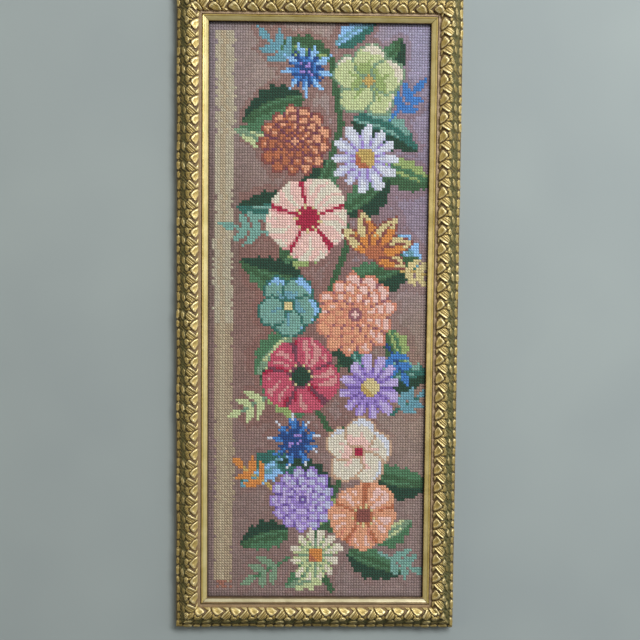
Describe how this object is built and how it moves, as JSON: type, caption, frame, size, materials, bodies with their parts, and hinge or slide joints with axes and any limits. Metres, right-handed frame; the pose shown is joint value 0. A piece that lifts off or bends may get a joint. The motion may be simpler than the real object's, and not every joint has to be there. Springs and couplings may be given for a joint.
{
  "type": "needlepoint canvas panel in a picture frame",
  "caption": "Tall narrow needlepoint panel: a flat stitched wool canvas held in the rebate of a mitred gilt picture frame, lying on its back",
  "frame": {"origin": "centre of the back, on the plane the frame's back lies on", "axes": "+Z out of the picture's face, +Y to the picture's top, +X to the picture's right"},
  "size_m": [0.267, 0.605, 0.02],
  "materials": {
    "gilt_frame": "worn gilding over dark ground",
    "stitched_canvas": "slanted wool stitches"
  },
  "bodies": {
    "root": {"frame_left": "gilt_frame", "frame_right": "gilt_frame", "frame_top": "gilt_frame", "frame_bottom": "gilt_frame", "canvas_panel": "stitched_canvas"}
  },
  "joints": []
}
